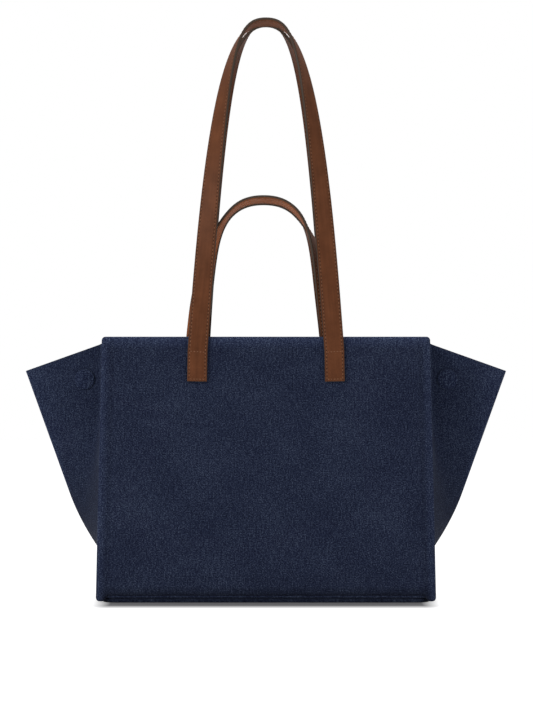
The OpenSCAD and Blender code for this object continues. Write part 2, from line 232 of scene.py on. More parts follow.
def settle_place(piece):
    """Moves a piece's place, turn and size into its mesh."""
    select_only(piece)
    bpy.ops.object.transform_apply(location=True, rotation=True, scale=True)


def rounded_slab(name, low, high, corner, rim):
    """A slab from its lowest to its highest corner, with round upright corners and rims."""
    slab = new_piece(bpy.ops.mesh.primitive_cube_add, name, size=1,
                     location=(low + high) / 2, scale=high - low)
    settle_place(slab)
    bpy.ops.object.mode_set(mode="EDIT")
    bpy.ops.mesh.select_all(action="DESELECT")
    bpy.ops.mesh.select_mode(type="EDGE")
    bpy.ops.object.mode_set(mode="OBJECT")
    for edge in slab.data.edges:
        a, b = (slab.data.vertices[i].co for i in edge.vertices)
        edge.select = abs(a.z - b.z) > 1e-6
    bpy.ops.object.mode_set(mode="EDIT")
    bpy.ops.mesh.bevel(offset=corner, segments=10, affect="EDGES")
    bpy.ops.object.mode_set(mode="OBJECT")
    apply_modifier(slab, "BEVEL", width=rim, segments=4, limit_method="ANGLE",
                   angle_limit=math.radians(60))
    smooth_faces(slab)
    return slab


# The base's denim is a darker copy, a little over half as bright: painted shade on the strip
# under the piping.
denim_base_painted_shade = denim_finish("denim_base_painted_shade", "Object", 0.55)
BASE_INSET = Vector((0.0035, 0, 0))
base_shell = rounded_slab("base_shell", BASE_LOW + BASE_INSET, BASE_HIGH - BASE_INSET,
                          BASE_CORNER, 0.0013)
base_shell.data.materials.append(denim_base_painted_shade)
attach(base_shell, "base")
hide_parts("base_panel")

# The boards inside the base and the panels are pressed fibre, cut with round corners.
# They lie loose between the denim and the lining and never show.
board_finish, board_tree, board_shader = new_finish("fibre_board", 0.8, 0.2)
fibre = grain(board_tree, millimetres(board_tree, "Object"), 0.6, 4.0, 0.7)
link(board_tree, blend_colour(board_tree, fibre, (0.52, 0.47, 0.38), (0.68, 0.63, 0.52)),
     board_shader.inputs["Base Color"])
relief(board_tree, board_shader, fibre, 0.0001)
for board in ("base_board", "front_stiffener", "back_stiffener"):
    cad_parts[board].data.materials.clear()
    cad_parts[board].data.materials.append(board_finish)

# The piping is a thin cord wrapped in denim, sewn into the seam between the base and
# the walls all the way round.
PIPING_LOW, PIPING_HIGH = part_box("base_piping")
piping_radius = (PIPING_HIGH.z - PIPING_LOW.z) / 2
inset = Vector((piping_radius, piping_radius, 0))
piping = new_piece(bpy.ops.mesh.primitive_plane_add, "base_welt", size=1,
                   location=(PIPING_LOW + PIPING_HIGH) / 2)
piping.scale = (*(PIPING_HIGH - PIPING_LOW - 2 * inset).xy, 1)
settle_place(piping)
in_edit_mode(piping, lambda: bpy.ops.mesh.bevel(
    offset=BASE_CORNER - piping_radius, segments=12, affect="VERTICES"))
in_edit_mode(piping, lambda: bpy.ops.mesh.delete(type="ONLY_FACE"))
select_only(piping)
bpy.ops.object.convert(target="CURVE")
piping.data.bevel_depth = piping_radius
piping.data.bevel_resolution = 4
bpy.ops.object.convert(target="MESH")
in_edit_mode(piping, face_outwards)
smooth_faces(piping)
piping.data.materials.append(denim_finish("denim_piping", "Object", 0.95))
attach(piping, "base")
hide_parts("base_piping")

# The linings are plain cotton, cut flat and sewn in at the seams, with a little slack.
# The first one lies over the base.
COTTON = (0.27, 0.20, 0.13)
COTTON_PALE = (0.36, 0.28, 0.19)


def cotton_finish(name):
    finish, tree, shader = new_finish(name, 0.9, 0.15)
    warp = grain(tree, millimetres(tree, "UV", (1, 0.1, 1)), 1.6)
    weft = grain(tree, millimetres(tree, "UV", (0.1, 1, 1)), 1.6)
    cloudy = grain(tree, millimetres(tree, "UV"), 0.03, 3.0)
    thread = combine(tree, "MULTIPLY", combine(tree, "ADD", warp, weft), 0.5)
    tone = combine(tree, "ADD", spread(tree, thread, 0.35, 0.65, 0, 0.7),
                   spread(tree, cloudy, 0.3, 0.7, 0, 0.3))
    link(tree, blend_colour(tree, tone, COTTON, COTTON_PALE), shader.inputs["Base Color"])
    relief(tree, shader, thread, 0.0002)
    return finish


def laid_cloth(name, columns, rows, point, cut):
    """A sheet laid out as a grid; point(u, v) says where each of its points goes, and
    cut(u, v) where that point lies on the flat cut, so that the weave follows the cloth."""
    cloth = new_piece(bpy.ops.mesh.primitive_grid_add, name, x_subdivisions=columns,
                      y_subdivisions=rows, size=1)
    layout = [(v.co.x + 0.5, v.co.y + 0.5) for v in cloth.data.vertices]
    uv = cloth.data.uv_layers.active.data
    for loop in cloth.data.loops:
        uv[loop.index].uv = cut(*layout[loop.vertex_index])
    for vertex, (u, v) in zip(cloth.data.vertices, layout):
        vertex.co = point(u, v)
    return cloth


def flat_cut(size):
    return lambda u, v: (u * size[0], v * size[1])


def thicken(cloth, thickness):
    """Gives a sheet its thickness, half on each side, and closes it."""
    apply_modifier(cloth, "SOLIDIFY", thickness=thickness, offset=0.0, use_even_offset=True)
    smooth_faces(cloth)


def ruffle(u, v, height, seed):
    """Slack of a sewn sheet: nothing at its edges, a soft unevenness inside."""
    inwards = min(1.0, 12 * min(u, 1 - u, v, 1 - v))
    return height * inwards * noise.noise(Vector((u * 4, v * 4, seed)))


cotton = cotton_finish("cotton")
LINING_LOW, LINING_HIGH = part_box("base_lining")
LINING_SIZE = LINING_HIGH - LINING_LOW
LINING_SLACK = 0.0007


def on_base(u, v):
    height = (LINING_LOW.z + LINING_HIGH.z) / 2 + ruffle(u, v, LINING_SLACK, 3.0)
    return Vector((LINING_LOW.x + u * LINING_SIZE.x, LINING_LOW.y + v * LINING_SIZE.y, height))


base_cloth = laid_cloth("base_lining_cloth", 60, 26, on_base, flat_cut(LINING_SIZE.xy))
thicken(base_cloth, LINING_SIZE.z)
base_cloth.data.materials.append(cotton)
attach(base_cloth, "base")
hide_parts("base_lining")

# Each panel is a stiff slab: denim pulled over a board, turned in round its edges and
# sewn, so that the edges are round and a shallow furrow runs beside them. Both panels
# lean towards each other.
PANEL_LOW, PANEL_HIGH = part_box("front_panel")
PANEL_LEAN = math.radians(2.5)
PANEL_TOP_HALF = 0.150
PANEL_BOTTOM_HALF = 0.155
PANEL_THICK = 0.005
BASE_DEPTH = 0.130
PIVOT_Z = (PIPING_LOW.z + PIPING_HIGH.z) / 2
SIDE_ROLL = 0.0062
TOP_ROLL = 0.0042
FURROW, FURROW_PLACE, FURROW_WIDTH = 0.00035, 0.0006, 0.0009
EAR_DROP, EAR_WIDTH, EAR_RAMP = 0.0052, 0.011, 0.004
CORNER = 0.0035
UNEVEN = ((14, 0.0005, 0), (60, 0.00012, 5))
PANEL_FOOT = PANEL_LOW.z - 0.0006
PANEL_GRID = (92, 74)
FILL_PRESSURE, FILL_FRAMES = 4, 20
CLOTH_SLACK = 0.006
FILL_MOST = 0.0009
BOARD_SIDE = 0.0012
SEWN_RIM, SEWN_SOFT = 0.009, 0.006
TAB_MIDDLE, TAB_REACH, TAB_FOOT_Z = 0.0627, 0.011, 0.198


def panel_half(z):
    share = min(1, max(0, (z - PANEL_LOW.z) / (PANEL_HIGH.z - PANEL_LOW.z)))
    return PANEL_BOTTOM_HALF + (PANEL_TOP_HALF - PANEL_BOTTOM_HALF) * share


def leaning(x, depth, z, side):
    """A point at a height, so far behind the panel's outer face; side is -1 at the front."""
    y = BASE_DEPTH / 2 - depth / math.cos(PANEL_LEAN) - (z - PIVOT_Z) * math.tan(PANEL_LEAN)
    return Vector((x, side * y, z))


def crowded(t):
    """Spreads points so that they crowd at both ends."""
    return (1 - math.cos(math.pi * t)) / 2


def roll(distance, reach, depth):
    """How far a round edge falls back at a distance from the edge."""
    share = min(1, max(0, distance / reach))
    return depth * (1 - math.sqrt(1 - (1 - share) ** 2))


def furrow(distance, reach):
    return FURROW * math.exp(-((distance - reach - FURROW_PLACE) / FURROW_WIDTH) ** 2)


def panel_point(u, v, side, outer, seed):
    """A point of one face of a panel, with its round corners, rolled edges and furrows.
    The denim hangs down a little at the lower corners."""
    z = PANEL_FOOT + crowded(v) * (PANEL_HIGH.z - PANEL_FOOT)
    half = panel_half(z)
    x = (crowded(u) * 2 - 1) * half
    from_side = half - abs(x)
    ear = EAR_DROP * min(1, max(0, (EAR_WIDTH - from_side) / EAR_RAMP)) * (1 - crowded(v)) ** 6
    z -= ear
    from_top, from_foot = PANEL_HIGH.z - z, z + ear - PANEL_FOOT
    from_end = min(from_top, from_foot)
    if from_side < CORNER and from_end < CORNER:
        pull = CORNER / math.hypot(CORNER - from_side, CORNER - from_end)
        if pull < 1:
            x = math.copysign(half - CORNER + (CORNER - from_side) * pull, x)
            lift = CORNER - (CORNER - from_end) * pull
            z = PANEL_HIGH.z - lift if from_top < from_foot else z + lift - from_foot
    middle = PANEL_THICK / 2
    edges = ((from_side, SIDE_ROLL), (from_top, TOP_ROLL), (from_foot, TOP_ROLL))
    fall = max(roll(distance, reach, middle) for distance, reach in edges)
    if not outer:
        return leaning(x, PANEL_THICK - fall, z, side)
    uneven = sum(noise.noise(Vector((x * scale, z * scale, seed + shift))) * height
                 for scale, height, shift in UNEVEN)
    depth = fall + sum(furrow(distance, reach) for distance, reach in edges)
    depth += uneven * min(1, *(distance / reach for distance, reach in edges))
    return leaning(x, min(depth, middle), z, side)


denim = denim_finish("denim", "UV", 1.08)
# The gussets' denim is a lighter copy of the panels' denim, which is painted light, and it also
# carries painted highlights and shade.
denim_wing_painted_light = denim_finish("denim_wing_painted_light", "UV", 1.08, with_painted_light=True)
# The panels' denim carries painted light: painted highlights on the rolled edges, painted shade
# in the furrows and at the foot.
denim_panel_painted_light = denim_finish("denim_panel_painted_light", "UV", 0.93, with_painted_light=True)


def paint_light(piece, amount):
    """Stores painted light at each point of a piece: how much lighter (painted highlight) or
    darker (painted shade) its denim is.
    """
    painted_light = piece.data.attributes.new("painted_light", "FLOAT", "POINT")
    for vertex, value in zip(piece.data.vertices, painted_light.data):
        value.value = amount(vertex.co)


def panel_painted_light(place):
    """Painted highlight on the rolled edges, most of all along the mouth; painted shade in the
    furrow inside them and at the foot of the panel."""
    from_side = panel_half(place.z) - abs(place.x)
    from_top, from_foot = PANEL_HIGH.z - place.z, place.z - PANEL_LOW.z
    # Painted highlight where the rolled edges catch the light, painted shade in the furrow and at
    # the foot.
    pale = max(0.85 * (1 - from_top / 0.011), 0.45 * (1 - from_side / 0.0075), 0)
    furrow_shade = 0.14 * math.exp(-((from_side - 0.0095) / 0.0020) ** 2)
    foot_shade = 0.45 * max(0, 1 - from_foot / 0.0085) * min(1, from_side / 0.012)
    return 1 + pale - furrow_shade - foot_shade


def swell(piece, free):
    """Lets a padded piece fill out in a cloth simulation, by no more than FILL_MOST.
    free(place) is 0 where it is sewn down and 1 where it can move."""
    start = [v.co.copy() for v in piece.data.vertices]
    held = piece.vertex_groups.new(name="sewn_down")
    for vertex in piece.data.vertices:
        held.add([vertex.index], 1 - free(vertex.co), "REPLACE")
    select_only(piece)
    modifier = piece.modifiers.new("Cloth", "CLOTH")
    modifier.settings.vertex_group_mass = held.name
    modifier.settings.quality = 3
    modifier.settings.use_pressure = True
    modifier.settings.uniform_pressure_force = FILL_PRESSURE
    modifier.settings.shrink_min = -CLOTH_SLACK
    modifier.settings.effector_weights.gravity = 0
    for step in range(1, FILL_FRAMES + 1):
        bpy.context.scene.frame_set(step)
    bpy.ops.object.modifier_apply(modifier=modifier.name)
    bpy.context.scene.frame_set(1)
    for vertex, place in zip(piece.data.vertices, start):
        move = vertex.co - place
        vertex.co = place + move * min(1, FILL_MOST / max(move.length, 1e-9))
    piece.vertex_groups.clear()


def padded_freedom(place, side):
    """The outer face is free between the seams, and held at its rim, on the board's side
    and where the strap is sewn on."""
    middle = leaning(0, PANEL_THICK / 2, place.z, side).y
    if (place.y - middle) * side < BOARD_SIDE:
        return 0
    from_rim = min(panel_half(place.z) - abs(place.x), PANEL_HIGH.z - place.z,
                   place.z - PANEL_LOW.z)
    from_tab = max(abs(abs(place.x) - TAB_MIDDLE) - TAB_REACH, TAB_FOOT_Z - place.z)
    return min(1, max(0, min(from_rim - SEWN_RIM, from_tab) / SEWN_SOFT))


def turned_panel(half_name, side):
    def outer_face(u, v):
        return panel_point(u, v, side, True, side * 3.0)

    def inner_face(u, v):
        return panel_point(u, v, side, False, 0.0)

    shell = laid_cloth(half_name + "_panel_shell", *PANEL_GRID, outer_face,
                       lambda u, v: outer_face(u, v).xz)
    back = laid_cloth("back_of_panel", *PANEL_GRID, inner_face,
                      lambda u, v: inner_face(u, v).xz)
    select_only(shell, back)
    bpy.ops.object.join()
    in_edit_mode(shell, lambda: bpy.ops.mesh.remove_doubles(threshold=0.00002), face_outwards)
    paint_light(shell, panel_painted_light)
    swell(shell, lambda place: padded_freedom(place, side))
    smooth_faces(shell, 80)
    shell.data.materials.append(denim_panel_painted_light)
    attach(shell, half_name + "_half")
    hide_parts(half_name + "_panel")


HALVES = (("front", -1), ("back", 1))
for half_name, side in HALVES:
    turned_panel(half_name, side)

# Inside each panel a denim facing runs along the mouth, and the cotton lining hangs
# from its lower edge to the base seam. Both are sewn to the panel.
FACING_LOW, FACING_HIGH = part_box("front_facing")
CLOTH_LOW, CLOTH_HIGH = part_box("front_lining")
FACING_THICK = 0.0012
COTTON_THICK = 0.0008
LAYER_GAP = 0.0003
GUSSET_LAYERS = 0.0029
GUSSET_INSET = 0.004
LAYER_SLACK = 0.00025
LAYER_ROLL = 0.0019


def inner_half(z):
    return panel_half(z) - GUSSET_INSET - GUSSET_LAYERS


def panel_layer(half_name, side, name, node, low, high, thickness, material, seed):
    """A sheet on the inner face of a panel, between two heights."""
    depth = PANEL_THICK + LAYER_GAP + thickness / 2

    def point(u, v):
        z = low + v * (high - low)
        x = (2 * u - 1) * inner_half(z)
        rim = min(LAYER_ROLL, roll(PANEL_HIGH.z - z, TOP_ROLL, PANEL_THICK / 2))
        return leaning(x, depth - rim + ruffle(u, v, LAYER_SLACK, seed), z, side)

    size = (2 * inner_half(low), high - low)
    layer = laid_cloth(half_name + name, 50, 24, point, flat_cut(size))
    thicken(layer, thickness)
    layer.data.materials.append(material)
    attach(layer, half_name + "_half")
    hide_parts(half_name + node)


for half_name, side in HALVES:
    panel_layer(half_name, side, "_mouth_facing", "_facing", FACING_LOW.z, FACING_HIGH.z,
                FACING_THICK, denim, side * 2.0)
    panel_layer(half_name, side, "_lining_cloth", "_lining", CLOTH_LOW.z, CLOTH_HIGH.z,
                COTTON_THICK, cotton, side * 4.0)

# The slip pocket is a cotton patch with a turned hem, sewn flat to the back lining at
# its sides and bottom and open at the top.
POCKET_LOW, POCKET_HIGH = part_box("back_pocket")
POCKET_DEPTH = PANEL_THICK + LAYER_GAP + COTTON_THICK + LAYER_GAP + COTTON_THICK / 2
POCKET_ROOM = 0.0008
POCKET_SEAM = 0.006
POCKET_BELLY = 0.0006
pocket_size = (POCKET_HIGH.x - POCKET_LOW.x, POCKET_HIGH.z - POCKET_LOW.z)


def pocket_point(u, v):
    across, up = u * pocket_size[0], v * pocket_size[1]
    from_seam = min(across, pocket_size[0] - across, up)
    room = POCKET_ROOM * min(1, from_seam / POCKET_SEAM)
    belly = POCKET_BELLY * math.sin(math.pi * u) * v
    return leaning(POCKET_LOW.x + across, POCKET_DEPTH + room + belly, POCKET_LOW.z + up, 1)


pocket = laid_cloth("slip_pocket", 48, 36, pocket_point, flat_cut(pocket_size))
thicken(pocket, COTTON_THICK)
pocket.data.materials.append(cotton)
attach(pocket, "back_half")
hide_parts("back_pocket")

# The gussets close the sides. Each is one wide piece of denim, lined with cotton, whose
# upper half is pinched along a crease beside the panel and folded at its middle into a
# flat wing. Its lower part runs straight across from panel to panel.
GUSSET_TOP_Z = 0.2383
WING_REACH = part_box("front_right_gusset")[1].x + 0.0004
WING_TIP_Z = 0.2109
WING_SLOPE = math.tan(math.radians(19.8))
WING_TOE_Z = 0.098
WING_TOE_CURVE = 3.2
WING_START_Z = 0.050
WING_OPEN_Z = 0.060
WING_SHUT_Z = 0.178
WING_PINCH = 0.0048
WING_FOLD = 0.0032
CREASE_OUT = 0.005
TOE_LIFT = 0.0015
NOSE_OPEN = 0.0006
BEND_OPEN, BEND_SHUT = 0.018, 0.005
DENIM_THICK = 0.0015
SEAM_ALLOWANCE = 0.0024
LINING_SHORTER = 0.0015
BACK_WEAVE_START = 0.053
FOLD_HIGHLIGHT_WIDTH = 0.0038


def between(a, b, share):
    return a + (b - a) * share


def ease(t):
    t = min(1, max(0, t))
    return t * t * (3 - 2 * t)


def ridge_x(z):
    """How far out the fold of the wing lies at a height; its toe curves in lower down."""
    toe = WING_TOE_CURVE * max(0, WING_TOE_Z - z) ** 2
    slope = WING_REACH - (WING_TIP_Z - z) * WING_SLOPE - toe
    return max(panel_half(z) - GUSSET_INSET + TOE_LIFT, slope)


def ridge_z(z):
    """The height at which a level line of the cloth reaches the fold of the wing."""
    share = (z - WING_START_Z) / (GUSSET_TOP_Z - WING_START_Z)
    return z if share < 0 else between(WING_START_Z, WING_TIP_Z, share)


def bent(a, knee, b, t):
    """A round bend from a to b, past the knee between them."""
    return (1 - t) ** 2 * a + 2 * t * (1 - t) * knee + t ** 2 * b


def gusset_course(z, depth):
    """One level line of the cloth, at a depth behind its outer face, from the seam to the
    middle of the bag, as (x, y) points."""
    foot = ridge_z(z)
    shut = ease((z - WING_OPEN_Z) / (WING_SHUT_Z - WING_OPEN_Z))
    seam = Vector((panel_half(z) - GUSSET_INSET - depth, leaning(0, SEAM_DEPTH, z, -1).y))
    end = Vector((ridge_x(foot) - depth, 0))
    pinched = Vector((seam.x + CREASE_OUT, depth - WING_PINCH))
    crease = between(between(seam, end, 0.5), pinched, shut)
    nose = Vector((end.x, -between(NOSE_OPEN, WING_FOLD - depth, shut)))
    back, out = (crease - seam).normalized(), (nose - crease).normalized()
    soft = between(BEND_OPEN, BEND_SHUT, shut)
    a = crease - back * min(soft * 1.4, 0.7 * (crease - seam).length)
    b = crease + out * min(soft, 0.4 * (nose - crease).length)
    reach = 0.9 * (end - nose).length
    c, d = nose - out * reach, nose + Vector((0, reach))
    line = [between(seam, a, i / 8) for i in range(8)]
    line += [bent(a, crease, b, i / 9) for i in range(10)]
    line += [between(b, c, i / 16) for i in range(1, 16)]
    line += [bent(c, nose, d, i / 7) for i in range(8)]
    return line + [end]


def line_length(line):
    return sum((b - a).length for a, b in zip(line, line[1:]))


def course_length(z):
    return line_length(gusset_course(z, DENIM_THICK / 2))


SEAM_DEPTH = PANEL_THICK + LAYER_GAP
COURSE_POINTS = len(gusset_course(GUSSET_TOP_Z, 0)) - 1
GUSSET_FLAT = (course_length(GUSSET_TOP_Z), GUSSET_TOP_Z - PANEL_LOW.z)
GUSSET_CUT = (course_length(PANEL_LOW.z) + GUSSET_FLAT[0]) / 2 * GUSSET_FLAT[1]


def gusset_sheet(name, y_side, x_side, depth, foot, top):
    """One layer of a quarter of the gussets, between the heights of its foot and its top.
    The weave starts elsewhere at the back, so that it isn't mirrored at the fold."""
    weave_start = BACK_WEAVE_START if y_side > 0 else 0

    def point(u, v):
        z = between(foot, top, v)
        line = gusset_course(z, depth)
        place = line[round(u * COURSE_POINTS)]
        share = (place.x - line[0].x) / (line[-1].x - line[0].x)
        height = between(z, ridge_z(z), min(1, max(0, share)))
        return Vector((x_side * place.x, -y_side * place.y, height))

    def cut(u, v):
        z = between(foot, top, v)
        reached = gusset_course(z, depth)[:round(u * COURSE_POINTS) + 1]
        return line_length(reached), z + weave_start

    return laid_cloth(name, COURSE_POINTS, 64, point, cut)


def wing_painted_light(place):
    """Painted highlight along the fold of the wings, and painted shade low down beside the panel,
    in the crease.
    """
    pale = 0.9 * max(0, 1 - abs(place.y) / FOLD_HIGHLIGHT_WIDTH) * ease((place.z - 0.08) / 0.04)
    low = 0.25 * ease((0.15 - place.z) / 0.06) * ease((place.z - 0.02) / 0.03)
    return 1 + pale - low


def bend_with_wing(piece):
    """Moves the piece's place, turn and size into its mesh."""
    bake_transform(piece)


def gusset_quarter(half_name, y_side, side_name, x_side):
    name = half_name + "_" + side_name + "_gusset"
    cotton_depth = DENIM_THICK + LAYER_GAP + COTTON_THICK / 2
    cloth = gusset_sheet(name + "_cloth", y_side, x_side, DENIM_THICK / 2,
                         PANEL_LOW.z - SEAM_ALLOWANCE, GUSSET_TOP_Z)
    lining = gusset_sheet(name + "_lining_cloth", y_side, x_side, cotton_depth,
                          PANEL_LOW.z, GUSSET_TOP_Z - LINING_SHORTER)
    for piece, thickness, material, slot_name, node in (
        (cloth, DENIM_THICK, denim_wing_painted_light, "denim", name),
        (lining, COTTON_THICK, cotton, "lining", name + "_lining"),
    ):
        thicken(piece, thickness)
        piece.data.materials.append(material)
        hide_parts(node)
        bend_with_wing(piece)
    paint_light(cloth, wing_painted_light)


for half_name, y_side in HALVES:
    for side_name, x_side in (("left", -1), ("right", 1)):
        gusset_quarter(half_name, y_side, side_name, x_side)

# Each wing is held shut by a magnetic snap. Its steel discs lie between the denim and
# the lining, and a denim-covered cap shows on the outside.
steel_finish, steel_tree, steel_shader = new_finish("nickel_steel", 0.32, 0.5)
steel_shader.inputs["Metallic"].default_value = 1.0
brushed = grain(steel_tree, millimetres(steel_tree, "Object", (0.2, 1, 1)), 3.0, 3.0)
link(steel_tree, blend_colour(steel_tree, brushed, (0.55, 0.53, 0.48), (0.66, 0.64, 0.59)),
     steel_shader.inputs["Base Color"])
# The caps' denim is a lighter copy of the wings' denim: painted light on the domes.
denim_cap_painted_light = denim_finish("denim_cap_painted_light", "Object", 1.3)
CAP_RISE = 0.0022
CAP_FURROW, CAP_FURROW_PLACE, CAP_FURROW_WIDTH = 0.18, 0.72, 0.1


def finish_snaps(pair, name, material, node):
    """Joins the left and the right one into one piece."""
    select_only(*pair)
    bpy.ops.object.join()
    piece = bpy.context.object
    piece.name = name
    piece.data.materials.append(material)
    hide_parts(node)
    bend_with_wing(piece)


def snap_magnets(half_name, y_side):
    """Steel discs with a ring pressed round their middle, one in each wing leaf."""
    node = half_name + "_snap_magnets"
    low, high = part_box(node)
    radius, thick = (high.z - low.z) / 2, high.y - low.y
    discs = []
    for x_side in (-1, 1):
        disc = new_piece(
            bpy.ops.mesh.primitive_cylinder_add, "disc", vertices=48, radius=radius, depth=thick,
            rotation=(math.pi / 2, 0, 0),
            location=(x_side * (high.x - radius), (low.y + high.y) / 2, (low.z + high.z) / 2))
        settle_place(disc)
        in_edit_mode(disc, lambda: bpy.ops.mesh.select_mode(type="FACE"))
        for face in disc.data.polygons:
            face.select = face.normal.y * y_side > 0.9
        bpy.ops.object.mode_set(mode="EDIT")
        bpy.ops.mesh.inset(thickness=radius * 0.45)
        bpy.ops.mesh.inset(thickness=radius * 0.12, depth=-thick * 0.25)
        bpy.ops.object.mode_set(mode="OBJECT")
        apply_modifier(disc, "BEVEL", width=thick * 0.14, segments=2, limit_method="ANGLE",
                       angle_limit=math.radians(40))
        smooth_faces(disc)
        discs.append(disc)
    finish_snaps(discs, half_name + "_snap_discs", steel_finish, node)


def snap_caps(half_name, y_side):
    """Low domes with a shallow furrow round their middle, on the outside of each wing."""
    node = half_name + "_snap_covers"
    low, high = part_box(node)
    radius = (high.z - low.z) / 2
    centre_y = (low.y if y_side < 0 else high.y) - y_side * CAP_RISE
    caps = []
    for x_side in (-1, 1):
        centre = Vector((x_side * (high.x - radius), centre_y, (low.z + high.z) / 2))
        cap = new_piece(bpy.ops.mesh.primitive_uv_sphere_add, "cap", segments=40, ring_count=20,
                        radius=1)
        in_edit_mode(cap, lambda: bpy.ops.mesh.bisect(
            plane_co=(0, 0, 0), plane_no=(0, 0, 1), clear_inner=True, use_fill=True))
        for vertex in cap.data.vertices:
            x, y, up = vertex.co
            off = (math.hypot(x, y) - CAP_FURROW_PLACE) / CAP_FURROW_WIDTH
            up = up ** 0.6 * (1 - CAP_FURROW * math.exp(-off ** 2))
            vertex.co = centre + Vector((x * radius, y_side * up * CAP_RISE, y * radius))
        in_edit_mode(cap, face_outwards)
        smooth_faces(cap, 60)
        caps.append(cap)
    finish_snaps(caps, half_name + "_snap_caps", denim_cap_painted_light, node)


for half_name, y_side in HALVES:
    snap_caps(half_name, y_side)
    snap_magnets(half_name, y_side)

# The straps and handles are flat bands of brown leather, folded over a core and sewn
# along both edges with tan thread; their cut edges are painted dark. The long straps
# are sewn outside the panels, the handles inside the mouth.
LEATHER_DARK = (0.060, 0.0185, 0.0060)
LEATHER_PALE = (0.136, 0.0460, 0.0180)
BAND_WIDTH = 0.0185
BAND_THICK = 0.0027
EDGE_TRIM = 0.0002
STRAP_SPACING = 0.1248
HANDLE_SPACING = 0.1230
FLAT_SHARE = 0.04
STITCH_INSET = 0.0021
STITCH_PITCH = 0.0034
STITCH_SIZE = (0.00105, 0.00034, 0.00028)
BOX_ROWS = (0.0022, 0.0272)
BOX_PITCH = 0.0028
HOLE_SHADE = (0.012, 0.006, 0.004)
HALF_BAND_MM, EDGE_DARK_START_MM, EDGE_DARK_END_MM, SEAM_MM = 9.5, 7.9, 9.6, 7.3


def leather_finish(name, shade, specular):
    finish, tree, shader = new_finish(name, 0.55, specular)
    dark, pale = shaded(LEATHER_DARK, shade), shaded(LEATHER_PALE, shade)
    space = millimetres(tree, "UV")
    pores = grain(tree, space, 2.2, 4.0, 0.65)
    clouds = grain(tree, space, 0.045, 3.0, 0.55)
    streaks = grain(tree, millimetres(tree, "UV", (1, 0.06, 1)), 0.35, 3.0)
    tone = combine(tree, "ADD", spread(tree, clouds, 0.3, 0.7, 0, 0.5),
                   spread(tree, streaks, 0.3, 0.7, 0, 0.3))
    tone = combine(tree, "ADD", tone, spread(tree, pores, 0.3, 0.7, 0, 0.2))
    colour = blend_colour(tree, tone, dark, pale)
    split = add_node(tree, "ShaderNodeSeparateXYZ")
    link(tree, space, split.inputs["Vector"])
    from_middle = combine(
        tree, "ABSOLUTE", combine(tree, "SUBTRACT", split.outputs["X"], HALF_BAND_MM))
    # Darker towards both edges of the band.
    colour = blend_colour(tree, spread(tree, from_middle, EDGE_DARK_START_MM, EDGE_DARK_END_MM), colour, dark)
    to_seam = combine(tree, "ABSOLUTE", combine(tree, "SUBTRACT", from_middle, SEAM_MM))
    groove = spread(tree, to_seam, 0.0, 0.7, 1.0, 0.0)
    colour = blend_colour(tree, combine(tree, "MULTIPLY", groove, 0.35), colour, dark)
    # Painted shade in the stitch holes: a dark dot at each stitch along the seam lines.
    half_pitch = 500 * STITCH_PITCH
    to_hole = combine(tree, "SUBTRACT", half_pitch,
                      combine(tree, "PINGPONG", split.outputs["Y"], half_pitch))
    hole_shade = spread(tree, combine(tree, "MAXIMUM", to_hole, to_seam), 0.25, 0.65, 0.8, 0.0)
    link(tree, blend_colour(tree, hole_shade, colour, HOLE_SHADE), shader.inputs["Base Color"])
    height = combine(tree, "SUBTRACT", combine(tree, "MULTIPLY", pores, 0.35), groove)
    relief(tree, shader, height, 0.00025, 0.8)
    link(tree, spread(tree, pores, 0.3, 0.7, 0.42, 0.6), shader.inputs["Roughness"])
    return finish


def plain_finish(name, dark, pale, roughness, scale):
    finish, tree, shader = new_finish(name, roughness, 0.2)
    mottle = grain(tree, millimetres(tree, "Object"), scale, 3.0)
    link(tree, blend_colour(tree, mottle, dark, pale), shader.inputs["Base Color"])
    relief(tree, shader, mottle, 0.00008)
    return finish


leather = leather_finish("leather", 1.0, 0.10)
# The inner faces of the bands are lighter copies of the leather, most of all on the handles:
# painted light on their undersides.
strap_underside_painted_light = leather_finish("leather_strap_underside_painted_light", 1.4, 0.04)
handle_underside_painted_light = leather_finish("leather_handle_underside_painted_light", 2.9, 0.04)
edge_paint = plain_finish("edge_paint", (0.028, 0.018, 0.012), (0.060, 0.041, 0.028), 0.55, 0.8)
thread = plain_finish("tan_thread", (0.15, 0.065, 0.032), (0.24, 0.115, 0.060), 0.6, 3.0)


def band_turn(slope, lean, twist, turned):
    """Directions across the band and out of its face, for its slope and its twist."""
    along = Vector((slope.x, lean * slope.y, slope.y)).normalized()
    front = Vector((0, -1, lean)).normalized()
    out = along.cross(front).normalized()
    front = out.cross(along)
    angle = math.pi - twist if turned else twist
    return (math.cos(angle) * out - math.sin(angle) * front,
            math.cos(angle) * front + math.sin(angle) * out)


def slanting(tilt):
    return Vector((-math.sin(tilt), math.cos(tilt)))


def curve_and_slope(a, b, c, d, u):
    """A point of the curve from a to d, led by b and c, and its direction there."""
    w = 1 - u
    point = w ** 3 * a + 3 * w ** 2 * u * b + 3 * w * u * u * c + u ** 3 * d
    return point, 3 * w ** 2 * (b - a) + 6 * w * u * (c - b) + 3 * u * u * (d - c)


